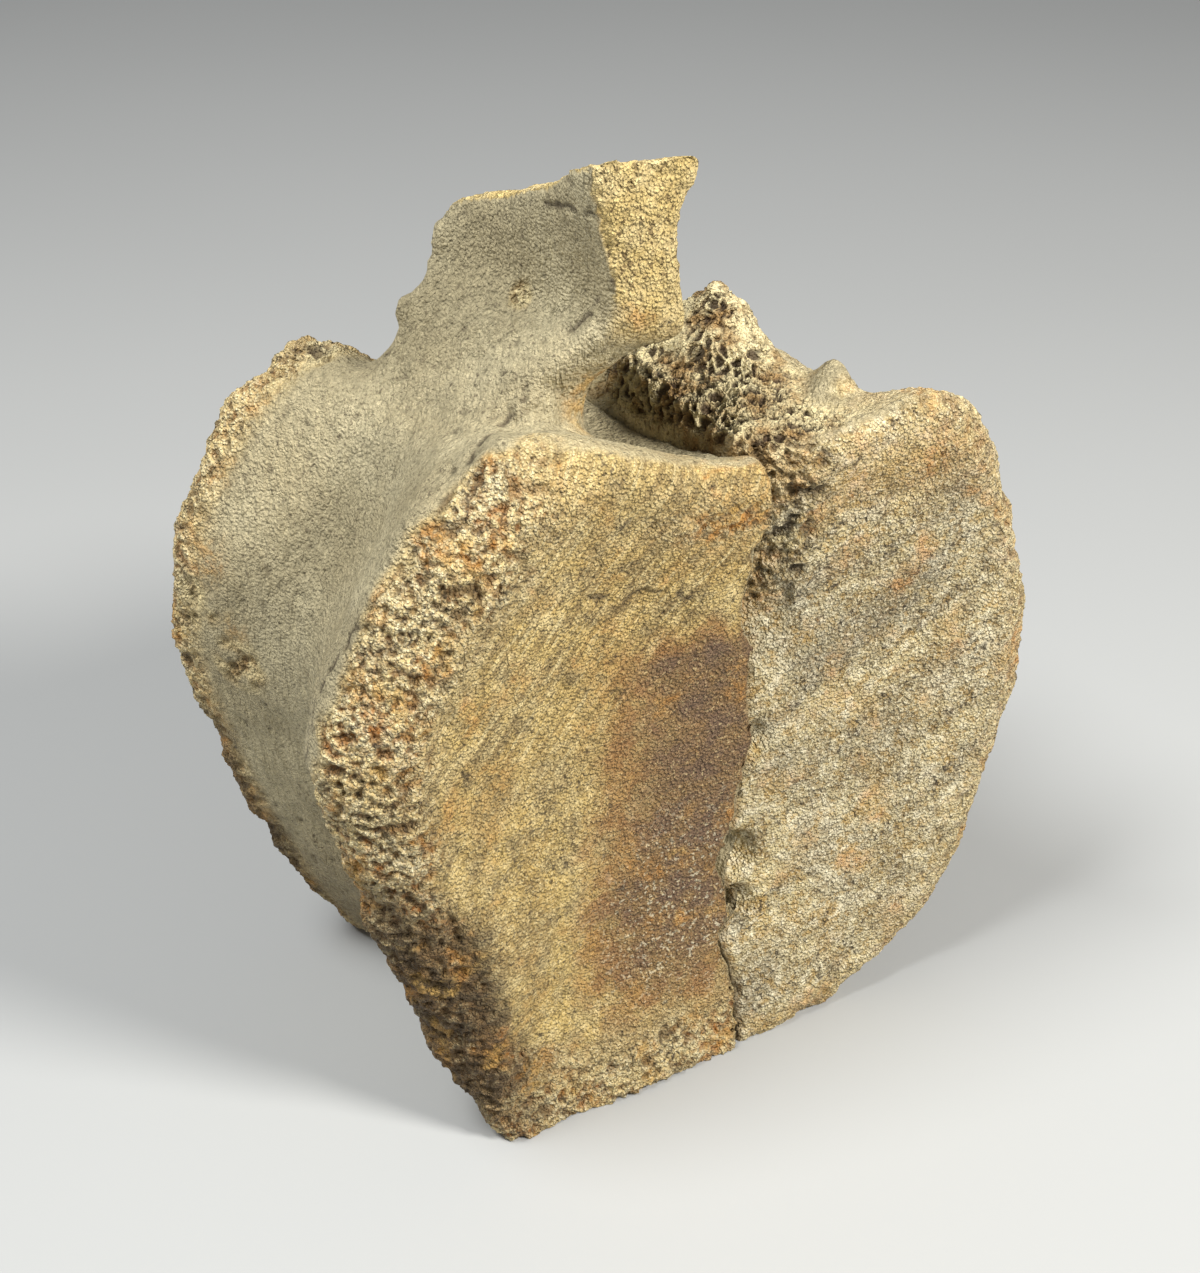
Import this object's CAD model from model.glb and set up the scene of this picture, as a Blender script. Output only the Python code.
"""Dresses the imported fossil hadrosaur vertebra: two rejoined fragments of real bone surface on a pale floor.

The bone was broken once from front to back. Each fragment is one piece: half of the centrum with
what is left of the neural arch on it. X runs to the right as seen from the front face, Y runs
backwards and Z up. Sizes are in metres unless a name ends in MM.
"""

import math

import bpy
from mathutils import Matrix, Vector, noise


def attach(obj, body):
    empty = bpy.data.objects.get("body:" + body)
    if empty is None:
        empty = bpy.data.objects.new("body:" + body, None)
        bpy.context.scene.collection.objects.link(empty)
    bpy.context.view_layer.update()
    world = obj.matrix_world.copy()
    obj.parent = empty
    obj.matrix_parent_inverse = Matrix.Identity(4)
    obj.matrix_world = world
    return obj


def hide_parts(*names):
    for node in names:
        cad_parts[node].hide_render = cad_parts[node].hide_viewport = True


bl_info = {
    "name": "Fossil vertebra",
    "version": (1, 0, 0),
    "blender": (4, 5, 0),
    "location": "View3D > Sidebar > Fossil",
    "description": "Builds the two fragments of a fossil hadrosaur vertebra and a plain stage",
    "category": "Object",
}

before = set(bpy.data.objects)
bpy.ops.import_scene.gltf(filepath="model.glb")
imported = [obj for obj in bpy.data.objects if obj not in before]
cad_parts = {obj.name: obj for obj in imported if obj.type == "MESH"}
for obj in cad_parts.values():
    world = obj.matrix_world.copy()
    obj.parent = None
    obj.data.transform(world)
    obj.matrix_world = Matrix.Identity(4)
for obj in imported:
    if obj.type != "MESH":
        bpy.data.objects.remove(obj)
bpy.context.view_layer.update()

MM = 0.001

# The centrum, as in the solids
HALF_WIDTH = 0.0745
HEIGHT = 0.1515
LENGTH = 0.080
AXIS_HEIGHT = 0.076
FRONT_DISH = 0.0080
REAR_DISH = 0.0070
LIP_LEFT = 0.0120
LIP_RIGHT = 0.0045
LIP_FOOT = 0.0045
LIP_REAR = 0.0065
WAIST_SIDE = 0.20
WAIST_BELLY = 0.17
WAIST_TOP = 0.060
CANAL_WAIST = 0.135
CANAL_MIDDLE = 0.002
CANAL_HALF_WIDTH = 0.021
SURFACE_WAVE = 0.0011
WAVE_LENGTH = 0.022
RIM_WAVE = 0.0016
RIM_WAVE_LENGTH = 0.0085

# The fracture
CRACK_PLACE = 0.0125
CRACK_SLANT = -0.12
CRACK_RAGGED = 0.0010
CRACK_JOGS = (
    (0.128, 0.0018, 0.009), (0.094, 0.0022, 0.005), (0.076, 0.0048, 0.020),
    (0.046, -0.0024, 0.006), (0.026, -0.0024, 0.007),
)
STEP_TOP = 0.0022
STEP_FOOT = 0.0006
GUTTER_DEPTH = 0.0072
GUTTER_WIDTH = 0.0135
GUTTER_FOOT = 0.085

# Where the middle of the standing bone lies in these coordinates
CENTRE = Vector((0.002767, -0.000056, 0.0))

FRONT_OUTLINE = (
    (1.060, 0.475), (1.035, 0.625), (0.905, 0.812), (0.705, 0.928), (0.455, 0.922), (0.16, 0.91),
    (-0.07, 0.945), (-0.295, 0.995), (-0.54, 0.985), (-0.755, 0.885), (-0.94, 0.725),
    (-0.965, 0.625), (-0.875, 0.43), (-0.745, 0.225), (-0.645, 0.065), (-0.49, -0.03),
    (-0.14, -0.03), (0.30, -0.022), (0.58, 0.018), (0.835, 0.112), (0.965, 0.265),
)
REAR_OUTLINE = (
    (0.97, 0.50), (0.935, 0.63), (0.80, 0.78), (0.60, 0.86), (0.36, 0.885), (0.12, 0.88),
    (-0.11, 0.88), (-0.34, 0.895), (-0.555, 0.947), (-0.795, 0.875), (-0.955, 0.745),
    (-0.990, 0.595), (-0.93, 0.435), (-0.81, 0.238), (-0.645, 0.055), (-0.48, -0.02),
    (-0.16, -0.02), (0.24, -0.02), (0.51, 0.03), (0.765, 0.155), (0.91, 0.31),
)

# Sections of the left arch, in millimetres: front outer, front inner, rear inner and rear outer
# corner as (across, behind the front face, height), and how square the section is
ARCH_SECTIONS = (
    ((-53, 8, 116), (-8, 10, 120), (-9, 72, 118), (-54, 72, 113), 0.55),
    ((-50, 11, 127), (-11, 13, 130), (-12, 70, 128), (-51, 70, 123), 0.55),
    ((-44, 15, 136), (-10, 15, 139), (-12, 67, 137), (-45, 67, 133), 0.52),
    ((-36, 19, 144), (-11, 18, 146), (-13, 64, 144), (-38, 64, 142), 0.48),
    ((-28, 21, 151), (-9, 20, 152), (-10, 61, 150), (-34, 61, 150), 0.42),
    ((-20, 19, 158), (-3, 17, 157), (-3, 59, 155), (-30, 60, 157), 0.34),
    ((-12, 14, 166), (3, 13, 161), (2, 58, 160), (-25, 60, 164), 0.26),
    ((-14, 13, 181), (2, 13, 177), (1, 57, 164), (-22, 60, 169), 0.22),
    ((-17, 13, 194), (6, 13, 192), (-3, 54, 169), (-19, 57, 174), 0.20),
)
ARCH_CROWN = 0.8 * MM
ARCH_HOLLOW = 3.0 * MM
ARCH_WAVE = 0.9 * MM
ARCH_WAVE_LENGTH = 9 * MM
TOP_SAG = 3.0 * MM

# The broken root of the right pedicle, in millimetres
STUMP_MIDDLE = (30, 37)
STUMP_HALF_SPAN = (19, 29)
STUMP_BED = 138.5
STUMP_EDGE = 35
STUMP_FALL = 0.50
STUMP_PEAKS = (
    (30, 46, 12.5, 7, 11), (27, 33, 3.5, 8, 9), (40, 20, 7.0, 4.5, 6),
    (17, 60, 3.0, 6, 8), (36, 62, 2.5, 7, 7), (21, 21, 2.0, 5, 6),
)
STUMP_RAGGED = 1.4
STUMP_GRAIN = 5.0

# Mesh density of the forms before they are joined
AROUND = 320
DISH_STEPS = 44
LIP_STEPS = 10
SIDE_STEPS = 56
ARCH_AROUND = 150
ARCH_STEPS = 80
STUMP_AROUND = 140
STUMP_STEPS = 34


def smooth(low, high, value):
    """0 below low, 1 above high, and a soft step between."""
    share = min(1.0, max(0.0, (value - low) / (high - low)))
    return share * share * (3 - 2 * share)


def between(first, second, share):
    return first + (second - first) * share


def hill(x, z, middle, reach):
    """1 at the middle, falling softly to 0 beyond the reach across and up."""
    return math.exp(-(((x - middle[0]) / reach[0]) ** 2) - ((z - middle[1]) / reach[1]) ** 2)


def curve_value(a, b, c, d, t):
    return 0.5 * (2 * b + (c - a) * t + (2 * a - 5 * b + 4 * c - d) * t * t + (3 * b - a - 3 * c + d) * t**3)


def on_closed_curve(points, turn):
    """A point of the smooth closed curve through points, at turn from 0 to 1."""
    count = len(points)
    place = (turn % 1.0) * count
    start = int(place)
    corners = (points[(start + k) % count] for k in (-1, 0, 1, 2))
    return tuple(curve_value(a, b, c, d, place - start) for a, b, c, d in zip(*corners))


def on_open_curve(values, place):
    """A number between those listed, on a smooth curve through them; place counts in list steps."""
    start = min(int(place), len(values) - 2)
    near = (values[min(max(start + k, 0), len(values) - 1)] for k in (-1, 0, 1, 2))
    return curve_value(*near, place - start)


def even_turns(points, count, samples=2400):
    """The turns that part a closed curve into count equal lengths."""
    run = [Vector(on_closed_curve(points, i / samples)) for i in range(samples + 1)]
    walked = [0.0]
    for a, b in zip(run, run[1:]):
        walked.append(walked[-1] + (b - a).length)
    turns = []
    i = 0
    for k in range(count):
        goal = walked[-1] * k / count
        while walked[i + 1] < goal:
            i += 1
        turns.append((i + (goal - walked[i]) / (walked[i + 1] - walked[i])) / samples)
    return turns


def rim_radius_table(outline, steps=720):
    """Distance from the centrum's axis to an outline, by direction."""
    table = [0.0] * steps
    for i in range(steps * 8):
        x, z = on_closed_curve(outline, i / (steps * 8))
        x, z = x * HALF_WIDTH, z * HEIGHT - AXIS_HEIGHT
        place = int((math.atan2(z, x) / (2 * math.pi) % 1.0) * steps) % steps
        table[place] = max(table[place], math.hypot(x, z))
    return table


FRONT_RADII = rim_radius_table(FRONT_OUTLINE)
REAR_RADII = rim_radius_table(REAR_OUTLINE)


def share_of_rim(x, y, z):
    """How far out from the axis a point lies, as a share of the outline at its depth."""
    place = int((math.atan2(z - AXIS_HEIGHT, x) / (2 * math.pi) % 1.0) * len(FRONT_RADII))
    place %= len(FRONT_RADII)
    back = min(1.0, max(0.0, y / LENGTH + 0.5))
    radius = between(FRONT_RADII[place], REAR_RADII[place], back)
    return math.hypot(x, z - AXIS_HEIGHT) / max(radius, 1e-6)


def crack_x(y, z):
    """Where the fracture between the halves lies across the bone."""
    place = CRACK_PLACE + CRACK_SLANT * (y + LENGTH / 2)
    for height, reach, spread in CRACK_JOGS:
        place += reach * math.exp(-(((z - height) / spread) ** 2))
    return place + CRACK_RAGGED * noise.noise(Vector((y * 60, 3.0, z * 170)))


def right_half_drop(x, y, z):
    """How far the right half's front face lies behind the left's, and its worn gutter."""
    across = x - crack_x(y, z)
    step = between(STEP_FOOT, STEP_TOP, smooth(0.02, 0.12, z))
    wall = smooth(0.0, 1.0, 1 - max(0.0, across) / GUTTER_WIDTH)
    return step + GUTTER_DEPTH * wall * smooth(GUTTER_FOOT, GUTTER_FOOT + 0.025, z)


def waist_at(x, z):
    """How much narrower the middle of the spool is, by where on the outline a point lies."""
    top = smooth(0.112, 0.134, z) * (1 - smooth(0.034, 0.064, abs(x)))
    belly = 1 - smooth(0.0, 0.045, z)
    canal = 1 - smooth(0.3, 1.0, abs(x - CANAL_MIDDLE) / CANAL_HALF_WIDTH)
    return between(between(WAIST_SIDE, WAIST_BELLY, belly), between(WAIST_TOP, CANAL_WAIST, canal), top)


def lip_depth(x, z, back):
    if back > 0.5:
        return LIP_REAR
    left = 1 - smooth(-0.05, -0.01, x)
    return between(LIP_RIGHT, between(LIP_FOOT, LIP_LEFT, smooth(0.0, 0.03, z)), left)


def centrum_rings(right_half):
    """Rings of points from the middle of the front face, over the spool, to the middle of the rear."""
    turns = even_turns(FRONT_OUTLINE, AROUND)
    front_edge = []
    rear_edge = []
    for turn in turns:
        x, z = on_closed_curve(FRONT_OUTLINE, turn)
        front_edge.append((x * HALF_WIDTH, z * HEIGHT))
        x, z = on_closed_curve(REAR_OUTLINE, turn)
        rear_edge.append((x * HALF_WIDTH, z * HEIGHT))
    front, rear = -LENGTH / 2, LENGTH / 2

    def place(k, share, y, back, in_dish=False):
        x = between(front_edge[k][0], rear_edge[k][0], back)
        z = between(front_edge[k][1], rear_edge[k][1], back) - AXIS_HEIGHT
        point = Vector((x * share, y, AXIS_HEIGHT + z * share))
        wave = SURFACE_WAVE * noise.noise(point / WAVE_LENGTH)
        at_rim = smooth(0.93, 1.0, share) * (smooth(0.75, 1.0, back) + 1 - smooth(0.0, 0.25, back))
        if at_rim > 0:
            wave += RIM_WAVE * at_rim * noise.noise(point / RIM_WAVE_LENGTH)
        if in_dish:
            point.y += wave * share * (1 if back > 0.5 else -1)
        else:
            point += Vector((x, 0, z)).normalized() * wave
        if right_half and back < 0.5 and y < front + LIP_LEFT:
            point.y += right_half_drop(point.x, y, point.z)
        return point

    def face(y_face, back, dish, inward):
        edge = rear_edge if back else front_edge
        depths = [lip_depth(x, z, back) for x, z in edge]
        shares = [1 - 1.3 * d / math.hypot(x, z - AXIS_HEIGHT) for d, (x, z) in zip(depths, edge)]
        rings = []
        for step in range(1, DISH_STEPS + 1):
            s = step / DISH_STEPS
            y = y_face + inward * dish * (1 - s**2)
            rings.append([place(k, s * shares[k], y, back, True) for k in range(AROUND)])
        for step in range(1, LIP_STEPS + 1):
            angle = math.pi / 2 * step / LIP_STEPS
            out, down = math.sin(angle), inward * (1 - math.cos(angle))
            rings.append([
                place(k, between(shares[k], 1.0, out), y_face + depths[k] * down, back)
                for k in range(AROUND)
            ])
        return rings

    sides = []
    for step in range(1, SIDE_STEPS):
        s = step / SIDE_STEPS
        hollow = 0.5 * math.sin(math.pi * s) + 0.5 * math.sin(math.pi * s) ** 2
        ring = []
        for k in range(AROUND):
            x = between(front_edge[k][0], rear_edge[k][0], s)
            z = between(front_edge[k][1], rear_edge[k][1], s)
            y = between(front + lip_depth(*front_edge[k], 0), rear - LIP_REAR, s)
            ring.append(place(k, 1 - waist_at(x, z) * hollow, y, s))
        sides.append(ring)
    return face(front, 0, FRONT_DISH, 1) + sides + face(rear, 1, REAR_DISH, -1)[::-1]


def behind_front(x, depth, z):
    """A point given in millimetres: across, behind the front face, and above the floor."""
    return Vector((x * MM, depth * MM - LENGTH / 2, z * MM))


def rounded_section(corners, squareness, count):
    """Points round a four-cornered section with rounded corners and a hollow outer side."""
    front_outer, front_inner, rear_inner, rear_outer = corners
    ring = []
    for k in range(count):
        angle = 2 * math.pi * (k + 0.5) / count
        c, s = math.cos(angle), math.sin(angle)
        a = (math.copysign(abs(c) ** squareness, c) + 1) / 2
        b = (math.copysign(abs(s) ** squareness, s) + 1) / 2
        point = front_outer.lerp(front_inner, a).lerp(rear_outer.lerp(rear_inner, a), b)
        point.x += ARCH_HOLLOW * math.sin(math.pi * b) * (1 - a)
        ring.append(point)
    return ring


def arch_rings():
    rings = []
    last = len(ARCH_SECTIONS) - 1
    for step in range(ARCH_STEPS + 1):
        place = last * step / ARCH_STEPS
        corners = []
        for corner in range(4):
            across, depth, height = (
                on_open_curve([section[corner][axis] for section in ARCH_SECTIONS], place)
                for axis in range(3)
            )
            corners.append(behind_front(across, depth, height))
        squareness = on_open_curve([row[4] for row in ARCH_SECTIONS], place)
        ring = rounded_section(corners, squareness, ARCH_AROUND)
        near_top = smooth(last - 1.2, last, place)
        for point in ring:
            along = (point.y + LENGTH / 2 - 0.013) / 0.044
            point.z -= TOP_SAG * near_top * math.sin(math.pi * min(1.0, max(0.0, along))) ** 2
            point += ARCH_WAVE * noise.noise_vector(point / ARCH_WAVE_LENGTH)
        rings.append(ring)
    top = sum(rings[-1], Vector()) / ARCH_AROUND + Vector((0, 0, ARCH_CROWN))
    rim = rings[-1]
    for step in range(9, 0, -1):
        rings.append([top.lerp(point, step / 10) for point in rim])
    root = sum(rings[0], Vector()) / ARCH_AROUND
    return rings, root, top


def stump_height(x, depth):
    """Height of the broken surface of the right pedicle, in millimetres."""
    height = STUMP_BED - STUMP_FALL * max(0.0, x - STUMP_EDGE) - 0.08 * max(0.0, depth - 40)
    height += STUMP_RAGGED * noise.noise(Vector((x, depth, 0)) / STUMP_GRAIN)
    for px, pd, rise, across, along in STUMP_PEAKS:
        height += rise * math.exp(-(((x - px) / across) ** 2) - ((depth - pd) / along) ** 2)
    return height


def stump_rings():
    def ring(share, height=None):
        points = []
        for k in range(STUMP_AROUND):
            angle = 2 * math.pi * k / STUMP_AROUND
            c, s = math.cos(angle), math.sin(angle)
            x = STUMP_MIDDLE[0] + STUMP_HALF_SPAN[0] * share * math.copysign(abs(c) ** 0.7, c)
            depth = STUMP_MIDDLE[1] + STUMP_HALF_SPAN[1] * share * math.copysign(abs(s) ** 0.7, s)
            points.append(behind_front(x, depth, stump_height(x, depth) if height is None else height))
        return points

    walls = ((0.7, 112), (0.92, 115), (1.0, 123), (1.04, 130))
    rings = [ring(*wall) for wall in walls]
    rings += [ring(1 - step / STUMP_STEPS) for step in range(STUMP_STEPS)]
    root = behind_front(*STUMP_MIDDLE, 112)
    top = behind_front(*STUMP_MIDDLE, stump_height(*STUMP_MIDDLE))
    return rings, root, top


def deselect():
    """Leaves object mode clean, with nothing selected."""
    if bpy.context.mode != "OBJECT":
        bpy.ops.object.mode_set(mode="OBJECT")
    bpy.ops.object.select_all(action="DESELECT")


def only(piece):
    deselect()
    piece.select_set(True)
    bpy.context.view_layer.objects.active = piece


def normals_outwards(piece):
    only(piece)
    bpy.ops.object.mode_set(mode="EDIT")
    bpy.ops.mesh.select_all(action="SELECT")
    bpy.ops.mesh.normals_make_consistent(inside=False)
    bpy.ops.object.mode_set(mode="OBJECT")


def lofted(name, rings, first_tip, last_tip):
    """A closed form through rings of points: a sphere whose circles of latitude become the rings."""
    across = len(rings[0])
    deselect()
    bpy.ops.mesh.primitive_uv_sphere_add(segments=across, ring_count=len(rings) + 1, radius=1)
    form = bpy.context.object
    form.name = name
    step = math.pi / (len(rings) + 1)
    for vertex in form.data.vertices:
        x, y, z = vertex.co
        ring = round(math.acos(max(-1.0, min(1.0, z))) / step)
        if ring == 0:
            vertex.co = first_tip
        elif ring > len(rings):
            vertex.co = last_tip
        else:
            turn = round(math.atan2(y, x) / (2 * math.pi) * across) % across
            vertex.co = rings[ring - 1][turn]
    normals_outwards(form)
    return form


def apply_modifier(piece, kind, **settings):
    """Adds one modifier, sets it, and applies it."""
    modifier = piece.modifiers.new(kind.title(), kind)
    for key, value in settings.items():
        setattr(modifier, key, value)
    only(piece)
    bpy.ops.object.modifier_apply(modifier=modifier.name)


def fracture_block(side, gap):
    """A block on one side of the fracture, standing on the floor; side is -1 left and 1 right."""
    along, up = 30, 260
    deep, tall, reach = 0.07, 0.24, 0.12
    deselect()
    bpy.ops.mesh.primitive_grid_add(x_subdivisions=along, y_subdivisions=up, size=2)
    block = bpy.context.object
    block.name = "fracture_block"
    for vertex in block.data.vertices:
        y = vertex.co.x * deep
        z = (vertex.co.y + 1) / 2 * tall
        fine = noise.noise(Vector((y * 500, 7.0, z * 900))) * 0.00022
        fine += noise.noise(Vector((y * 250, 9.0, z * 380))) * 0.0004
        chip = max(0.0, noise.noise(Vector((y * 200, 11.0 + side, z * 260)))) * 0.0009
        vertex.co = Vector((crack_x(y, z) + fine + side * (gap / 2 + chip), y, z))
    only(block)
    bpy.ops.object.mode_set(mode="EDIT")
    bpy.ops.mesh.select_all(action="SELECT")
    bpy.ops.mesh.extrude_region_move(TRANSFORM_OT_translate={"value": (side * reach, 0, 0)})
    bpy.ops.object.mode_set(mode="OBJECT")
    normals_outwards(block)
    return block


def joined_bone(name, forms, block, voxel):
    """One closed skin round forms that overlap, kept on one side of the fracture."""
    only(forms[0])
    for form in forms:
        form.select_set(True)
    bpy.ops.object.join()
    bone = bpy.context.object
    bone.name = name
    bone.data.name = name
    apply_modifier(bone, "REMESH", mode="VOXEL", voxel_size=voxel, adaptivity=0.0)
    apply_modifier(bone, "BOOLEAN", operation="INTERSECT", object=block, solver="EXACT")
    bpy.data.objects.remove(block)
    apply_modifier(bone, "REMESH", mode="VOXEL", voxel_size=voxel, adaptivity=0.0)
    return bone


def vertex_group(piece, name, weights):
    """A vertex group from one weight for each vertex, in 20 steps."""
    group = piece.vertex_groups.new(name=name)
    steps = {}
    for index, weight in enumerate(weights):
        step = round(weight * 20)
        if step:
            steps.setdefault(step, []).append(index)
    for step, indices in steps.items():
        group.add(indices, step / 20, "REPLACE")
    return group.name


# Places on the bone, in millimetres as (across, behind the front face, height)
KNOB = (-23, 20, 149)
REAR_PIT = (-41, 72, 143)
REAR_SCARS = (((-71, 70, 100), 7), ((-66, 61, 88), 6))
STUMP_KNOB = (36, 17, 142)
ARCH_PORES = (-17, 36, 163)
ARCH_JAGS = (((-29, 60, 154), 3, 1.6), ((-26, 60, 160), 3, -1.2), ((-22, 58, 167), 3, 1.0))
NOTCHES = (((13, 8, 46), 5.5, 4.5), ((13.5, 7, 34), 4.5, 3.2), ((17.5, 8, 73), 3.5, 2.4))
CRACKS = (
    ((-24, 21, 152), (-29, 21, 148), (-40, 11, 148), (-47, 8, 143), (-54, 8, 136), (-60, 9, 128), (-66, 12, 118),
     (-69, 13, 110), (-71, 13, 97), (-69, 13, 82), (-65, 13, 68)),
    ((-10, 12, 175), (-11.5, 15, 172), (-14.3, 21, 163), (-16, 24, 156)),
    ((-16, 30, 181), (-15, 22, 183), (-13.8, 14, 185)),
    ((-22, 2, 121), (-15, 3, 117), (-10, 4, 118), (-4, 4, 115), (2, 5, 112)),
)
SPONGE_CELL = 2.3 * MM
SPONGE_DEPTH = 1.5 * MM
RIM_LUMP = 3.1 * MM
RIM_PIT = 1.5 * MM
REGIONS = ("rim", "sponge", "broken", "pit", "side", "stain", "amber", "crack")


def distance_along_skin(point, normal, start, end):
    """Distance from a point of the skin to a line that runs on it, or 1 if the line is elsewhere."""
    along = end - start
    share = min(1.0, max(0.0, (point - start).dot(along) / along.length_squared))
    away = point - start - along * share
    return (away - normal * away.dot(normal)).length if away.length < 0.004 else 1.0


class Place:
    """A point of the bone's skin with its normal, and the shares of each kind of surface there."""

    def __init__(self, point, normal, right_half):
        self.point, self.normal, self.right_half = point, normal, right_half
        self.crack_away = 1.0
        x, y, z = point
        self.depth = y + LENGTH / 2
        self.share = share_of_rim(x, y, z)
        self.fractured = self.is_fractured()
        self.arch = self.arch_share()
        self.broken = self.broken_share()
        self.front = smooth(0.30, 0.65, -normal.y) * (1 - smooth(0.013, 0.020, self.depth))
        self.front *= 1 - self.arch
        self.rear = smooth(0.45, 0.80, normal.y) * smooth(0.062, 0.070, self.depth) * (1 - self.arch)
        self.rim = self.rim_share()
        self.sponge = self.sponge_share()
        self.gutter = self.gutter_share()
        self.side = max(self.arch, (1 - self.front - self.rear) * (1 - self.rim)) * (1 - self.sponge)
        self.side *= 1 - self.broken
        self.hairline = self.hairline_share()

    def near(self, place, reach):
        """1 at a place given in millimetres, falling to 0 a little beyond its reach."""
        away = (self.point - behind_front(*place)).length / (reach * MM)
        return 1 - smooth(0.55, 1.25, away)

    def hairline_share(self):
        """1 in the thin dark cracks of the left fragment, which come and go along their length."""
        if self.right_half:
            return 0.0
        shaken = self.point + noise.noise_vector(self.point / 0.0022) * 0.0008
        self.crack_away = min(
            distance_along_skin(shaken, self.normal, behind_front(*a), behind_front(*b))
            for line in CRACKS for a, b in zip(line, line[1:])
        )
        gaps = smooth(-0.20, 0.05, noise.noise(self.point / 0.0035))
        return (1 - smooth(0.0002, 0.0010, self.crack_away)) * gaps * 0.9

    def is_fractured(self):
        """1 on the hidden wall of the fracture, which no one sees and which stays plain."""
        x, y, z = self.point
        inside = abs(x - crack_x(y, z)) < 1.1 * MM and abs(self.normal.x) > 0.75
        return inside and 0.004 < self.depth < 0.076 and self.share < 0.97

    def arch_share(self):
        """How far a point belongs to the left arch."""
        x, _, z = self.point
        if self.right_half:
            return 0.0
        return smooth(0.137, 0.149, z) * smooth(0.012, 0.017, self.depth) * (1 - smooth(0.066, 0.072, self.depth))

    def broken_share(self):
        """The fresh broken faces of the arch: in front, along the midline and on top."""
        if self.right_half:
            return 0.0
        x, _, z = self.point
        n = self.normal
        ragged = 0.0009 * noise.noise(self.point / 0.0025)
        border = between(0.005, -0.020, smooth(0.157, 0.178, z)) + ragged
        ahead = smooth(0.45, 0.60, -n.y) * (1 - smooth(0.018, 0.024, self.depth)) * smooth(0.156, 0.158, z)
        ahead *= smooth(border, border + 0.0012, x)
        middle = smooth(0.55, 0.75, n.x) * smooth(0.162, 0.166, z + 2 * ragged)
        above = smooth(0.55, 0.75, n.z) * smooth(0.0, 0.002, z - self.top_line())
        return max(ahead, middle, above)

    def top_line(self):
        """The height below which the slanting top of the arch isn't broken yet."""
        return between(0.186, 0.167, smooth(0.010, 0.058, self.depth))

    def rim_share(self):
        """The rough bands round the two end faces."""
        x, _, z = self.point
        if self.right_half:
            wobble = 0.03 * noise.noise(self.point / 0.008)
            inner = smooth(0.87 + wobble, 0.97 + wobble, self.share)
            strength = 0.7
        else:
            wobble = 0.05 * noise.noise(self.point / 0.012) + 0.04 * noise.noise(self.point / 0.004)
            inner = smooth(0.71 + wobble, 0.84 + wobble, self.share)
            strength = 1.0
        lip = between(0.013, 0.0065, smooth(0.085, 0.105, z) * (not self.right_half))
        lip += 0.003 * noise.noise(self.point / 0.005)
        ahead = inner * (1 - smooth(lip, lip + 0.004, self.depth)) * strength
        on_top = smooth(0.128, 0.138, z) * smooth(-0.040, -0.022, x) * (1 - smooth(0.040, 0.052, x))
        ahead *= 1 - 0.85 * on_top
        behind = smooth(0.90, 0.97, self.share) * smooth(0.066, 0.073, self.depth) * 0.9
        return max(ahead, behind) * (1 - self.arch)

    def sponge_share(self):
        """Bone worn open to its spongy inside: the right stump, the canal's right wall, small scars."""
        x, y, z = self.point
        if self.right_half:
            across = (x / MM - STUMP_MIDDLE[0]) / (STUMP_HALF_SPAN[0] + 1)
            along = (self.depth / MM - STUMP_MIDDLE[1]) / (STUMP_HALF_SPAN[1] + 2)
            on_stump = 1 - smooth(0.90, 1.04, (across**4 + along**4) ** 0.25)
            wall = smooth(0.3, 0.6, -self.normal.x) * (1 - smooth(0.018, 0.022, x))
            wall *= smooth(0.012, 0.018, self.depth) * (1 - smooth(0.062, 0.068, self.depth))
            outward = 1 - 0.7 * smooth(0.029, 0.038, x) * (1 - smooth(0.045, 0.060, self.depth))
            kept = 1 - self.near(STUMP_KNOB, 6)
            return max(on_stump * outward * kept, wall) * smooth(0.126, 0.131, z)
        scars = max(self.near(place, reach) for place, reach in REAR_SCARS)
        scars *= smooth(-0.35, 0.25, noise.noise(self.point / 0.0042))
        return max(0.8 * self.near(REAR_PIT, 4.5), 0.7 * scars, 0.7 * self.near(ARCH_PORES, 2.4))

    def gutter_share(self):
        """The worn wall beside the crack's upper part, on the right half."""
        x, y, z = self.point
        if not self.right_half:
            return 0.0
        wall = 1 - smooth(0.85, 1.35, (x - crack_x(y, z)) / GUTTER_WIDTH + 0.25 * noise.noise(self.point / 0.006))
        low = 0.094 + 0.006 * noise.noise(self.point / 0.008)
        return wall * smooth(low, low + 0.012, z) * self.front


def sponge_pores(point):
    """Depth of the open pores of spongy bone from 0 to 1, with thin walls left between them."""
    warped = point + noise.noise_vector(point / 0.006) * 0.0014
    warped = Vector((warped.x, warped.y, warped.z * 0.7)) / SPONGE_CELL
    near, second = noise.voronoi(warped)[0][:2]
    wall = smooth(0.02, 0.26, second - near)
    return wall * smooth(-0.45, 0.20, noise.noise(point / 0.0048) + 0.22)


def crunch(point, size):
    """Sharp crests over rounded hollows, about from -1 to 1."""
    value = 0.0
    weight = 1.0
    for octave in range(3):
        value += weight * (0.55 - 2.2 * abs(noise.noise(point / size + Vector((octave * 7, 0, 0)))))
        size *= 0.48
        weight *= 0.55
    return value


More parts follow.
